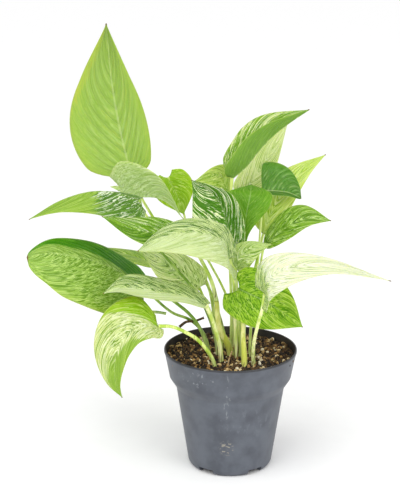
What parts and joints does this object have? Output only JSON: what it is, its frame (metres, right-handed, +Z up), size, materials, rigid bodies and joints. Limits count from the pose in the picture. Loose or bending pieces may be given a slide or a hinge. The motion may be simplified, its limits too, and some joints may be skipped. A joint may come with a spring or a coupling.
{
  "type": "potted pothos plant",
  "caption": "Variegated marble pothos with heart-shaped leaves on arching petioles, planted in soil in a tapered round nursery pot.",
  "frame": {"origin": "centre of the pot's underside, where it stands", "axes": "+Z up along the pot's axis, -Y the plant's front, +X its right-hand side as seen from the front"},
  "size_m": [0.3015, 0.178, 0.3972],
  "materials": {
    "pot": "slightly rough slate grey nursery plastic",
    "soil": "loose brown-black potting mix with tan bark and perlite",
    "vine": "smooth pale green and cream stem",
    "root": "dry brown fibre",
    "petiole": "smooth waxy green",
    "leaf": "waxy green leaf, marbled",
    "pale_leaf": "waxy cream-white leaf, marbled with green"
  },
  "bodies": {
    "root": {"pot": "pot", "soil": "soil", "left_vine": "vine", "right_vine": "vine", "anchor_root": "root", "dry_root": "root", "runner_end": "root", "petiole_tall_left": "petiole", "leaf_tall_left": "leaf", "petiole_arching_left": "petiole", "leaf_arching_left": "pale_leaf", "petiole_bright_left": "petiole", "leaf_bright_left": "leaf", "petiole_long_left": "petiole", "leaf_long_left": "leaf", "petiole_middle_left": "petiole", "leaf_middle_left": "leaf", "petiole_pale_middle": "petiole", "leaf_pale_middle": "pale_leaf", "petiole_dark_left": "petiole", "leaf_dark_left": "leaf", "petiole_small_front_left": "petiole", "leaf_small_front_left": "pale_leaf", "petiole_low_left": "petiole", "leaf_low_left": "leaf", "petiole_back_left": "petiole", "leaf_back_left": "leaf", "petiole_inner_left": "petiole", "leaf_inner_left": "pale_leaf", "petiole_striped_middle": "petiole", "leaf_striped_middle": "leaf", "petiole_plain_middle": "petiole", "leaf_plain_middle": "leaf", "petiole_rounded_right": "petiole", "leaf_rounded_right": "leaf", "petiole_near_white_right": "petiole", "leaf_near_white_right": "pale_leaf", "petiole_tall_right": "petiole", "leaf_tall_right": "leaf", "petiole_yellow_middle": "petiole", "leaf_yellow_middle": "leaf", "petiole_pale_back": "petiole", "leaf_pale_back": "pale_leaf", "petiole_pointed_right": "petiole", "leaf_pointed_right": "leaf", "petiole_bright_right": "petiole", "leaf_bright_right": "leaf", "petiole_small_grey": "petiole", "leaf_small_grey": "pale_leaf", "petiole_heart_right": "petiole", "leaf_heart_right": "leaf"}
  },
  "joints": []
}
